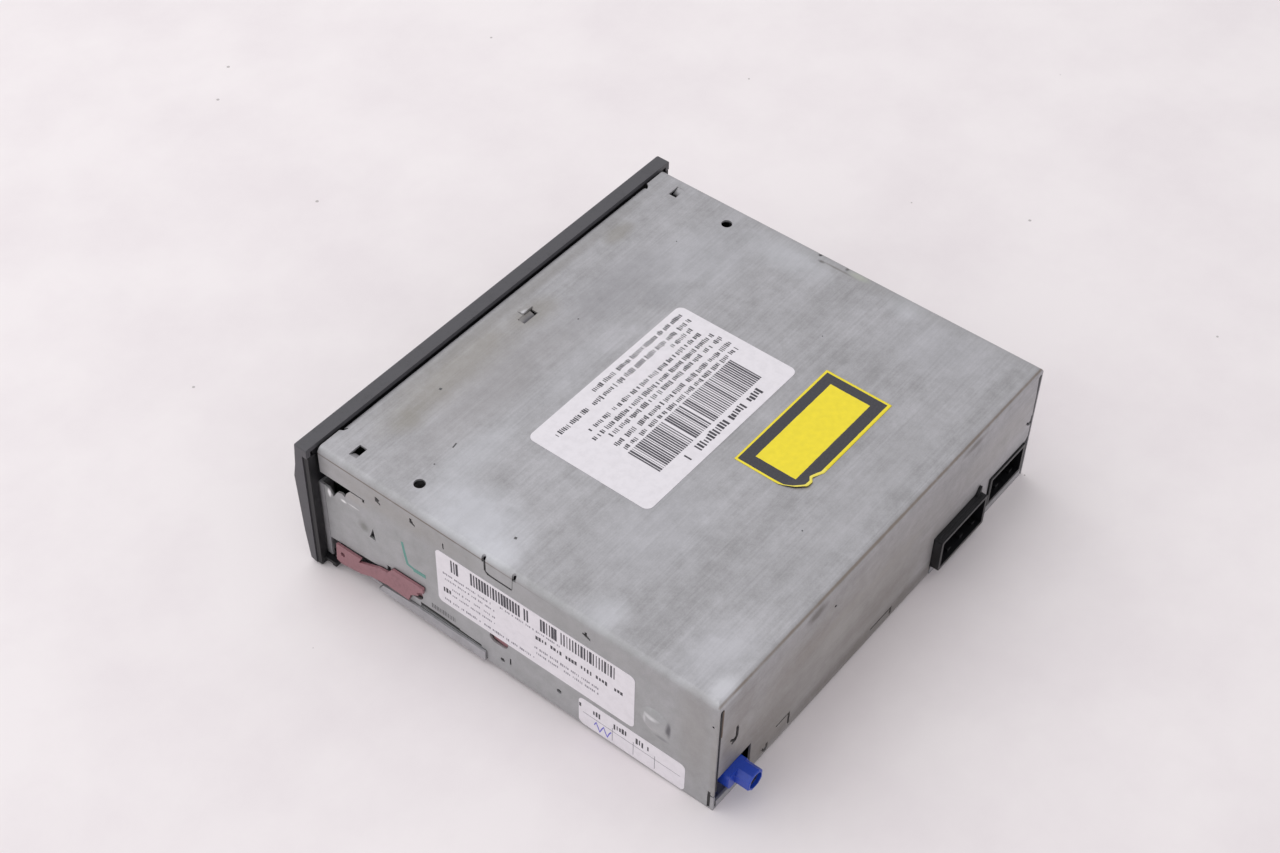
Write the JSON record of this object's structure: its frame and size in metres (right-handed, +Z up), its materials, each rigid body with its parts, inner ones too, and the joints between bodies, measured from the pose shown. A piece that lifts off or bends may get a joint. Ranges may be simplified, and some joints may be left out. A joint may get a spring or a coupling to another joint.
{
  "type": "car disc player",
  "caption": "Slot-loading car disc player: zinc-plated case with dark bezel, floating disc deck, clamp, loading roller, pickup sled and rear sockets.",
  "frame": {"origin": "middle of the bounding box on the floor plane, under the lowest edge of the bezel", "axes": "+X to the right side seen from the front, +Y from the bezel to the rear sockets, +Z up"},
  "size_m": [0.188, 0.1782, 0.0573],
  "materials": {
    "zinc_steel": "hot-dip zinc-plated steel sheet, matte with faint rolling streaks",
    "tray_steel": "zinc-plated steel sheet",
    "bezel_plastic": "moulded ABS, fine grain",
    "black_plastic": "moulded glass-filled nylon, satin black",
    "button_plastic": "moulded ABS, satin",
    "felt_pile": "short black pile",
    "clear_plastic": "clear red acrylic",
    "board_laminate": "glass-epoxy board with solder mask",
    "white_paper": "matte coated label paper",
    "yellow_film": "printed polyester film",
    "lever_plastic": "moulded acetal, salmon pink",
    "blue_plastic": "moulded PBT, blue",
    "brass_contact": "gold-flashed brass",
    "nickel_steel": "nickel-plated steel",
    "sink_aluminium": "extruded aluminium",
    "white_nylon": "moulded natural nylon",
    "black_rubber": "moulded rubber",
    "copper_winding": "enamelled copper winding",
    "cable_film": "polyester flat cable"
  },
  "bodies": {
    "housing": {"top_cover": "zinc_steel", "bottom_tray": "tray_steel", "front_frame": "tray_steel", "fascia": "bezel_plastic", "fascia_carrier": "black_plastic", "slot_felts": "felt_pile", "switch_and_led": "black_plastic", "indicator_lens": "clear_plastic", "front_board": "board_laminate", "top_label": "white_paper", "yellow_label": "yellow_film", "side_label": "white_paper", "test_sticker": "white_paper", "main_board": "board_laminate", "case_screws": "nickel_steel", "shield_can": "tray_steel", "board_chips": "black_plastic", "heatsink": "sink_aluminium", "capacitors": "sink_aluminium", "cable_socket": "black_plastic", "flat_cable": "cable_film", "wide_connector": "black_plastic", "narrow_connector": "black_plastic", "connector_pins": "brass_contact", "coax_housing": "blue_plastic", "coax_shield": "nickel_steel", "coax_contact": "brass_contact", "deck_bracket_right": "tray_steel", "deck_bracket_left": "tray_steel", "dampers": "black_rubber", "deck_springs": "nickel_steel"},
    "button": {"eject_button": "button_plastic"},
    "lever": {"side_lever": "lever_plastic"},
    "deck": {"deck_plate": "tray_steel", "deck_sides": "tray_steel", "deck_board": "board_laminate", "upper_guide": "black_plastic", "roller_frame": "white_nylon", "roller_bushes": "white_nylon", "load_motor": "black_plastic", "gear_post": "nickel_steel", "clamp_hinge_pin": "nickel_steel", "guide_rods": "nickel_steel", "rod_holders": "white_nylon", "sled_motor": "nickel_steel", "spindle_stator": "copper_winding"},
    "roller": {"roller_shaft": "nickel_steel", "roller_rubbers": "black_rubber", "roller_gear": "white_nylon"},
    "idler": {"idler_gear": "white_nylon"},
    "pinion": {"motor_pinion": "white_nylon"},
    "spindle": {"spindle_rotor": "nickel_steel", "turntable": "white_nylon", "turntable_pad": "black_rubber"},
    "pickup": {"sled": "sink_aluminium"},
    "lens": {"lens_holder": "black_plastic"},
    "screw": {"lead_screw": "nickel_steel"},
    "clamp": {"clamp_arm": "tray_steel"},
    "puck": {"clamp_puck": "white_nylon"}
  },
  "joints": [
    {"name": "deck_float", "type": "slide", "parent": "housing", "child": "deck", "axis": [0, 0, 1], "range_m": [-0.001, 0.001], "stiffness_N_per_m": 4000, "springref_m": 0.00081, "deforming": ["deck_springs", "flat_cable"]},
    {"name": "eject_press", "type": "slide", "parent": "housing", "child": "button", "axis": [0, 1, 0], "range_m": [0, 0.0012], "stiffness_N_per_m": 400, "springref_m": -0.0008},
    {"name": "lever_slide", "type": "slide", "parent": "housing", "child": "lever", "axis": [0, 1, 0], "range_m": [0, 0.004]},
    {"name": "roller_turn", "type": "hinge", "parent": "deck", "child": "roller", "pos_m": [0, -0.0678, 0.035], "axis": [1, 0, 0], "continuous": true},
    {"name": "idler_turn", "type": "hinge", "parent": "deck", "child": "idler", "pos_m": [0.0725, -0.06133, 0.02431], "axis": [1, 0, 0], "continuous": true},
    {"name": "pinion_turn", "type": "hinge", "parent": "deck", "child": "pinion", "pos_m": [0.0725, -0.0508, 0.0275], "axis": [1, 0, 0], "continuous": true},
    {"name": "spindle_turn", "type": "hinge", "parent": "deck", "child": "spindle", "pos_m": [0, 0.0012, 0.037], "axis": [0, 0, 1], "continuous": true},
    {"name": "sled_slide", "type": "slide", "parent": "deck", "child": "pickup", "axis": [1, 0, 0], "range_m": [0, 0.034]},
    {"name": "screw_turn", "type": "hinge", "parent": "deck", "child": "screw", "pos_m": [0.01, 0.0362, 0.026], "axis": [1, 0, 0], "range_deg": [0, 4082]},
    {"name": "lens_focus", "type": "slide", "parent": "pickup", "child": "lens", "axis": [0, 0, 1], "range_m": [-0.0004, 0.0004], "stiffness_N_per_m": 60, "springref_m": 0.0001},
    {"name": "clamp_swing", "type": "hinge", "parent": "deck", "child": "clamp", "pos_m": [0, 0.0692, 0.0485], "axis": [1, 0, 0], "range_deg": [0, 7], "stiffness_Nm_per_rad": 0.2, "springref_deg": -17.19},
    {"name": "puck_turn", "type": "hinge", "parent": "clamp", "child": "puck", "pos_m": [0, 0.00082, 0.04954], "axis": [0, 0.1219, 0.9925], "continuous": true}
  ],
  "couplings": [
    {"joint": "idler_turn", "follows": "roller_turn", "ratio": -0.66667},
    {"joint": "pinion_turn", "follows": "roller_turn", "ratio": 1.4286},
    {"joint": "screw_turn", "follows": "sled_slide", "rad_per_m": 2094.4}
  ]
}
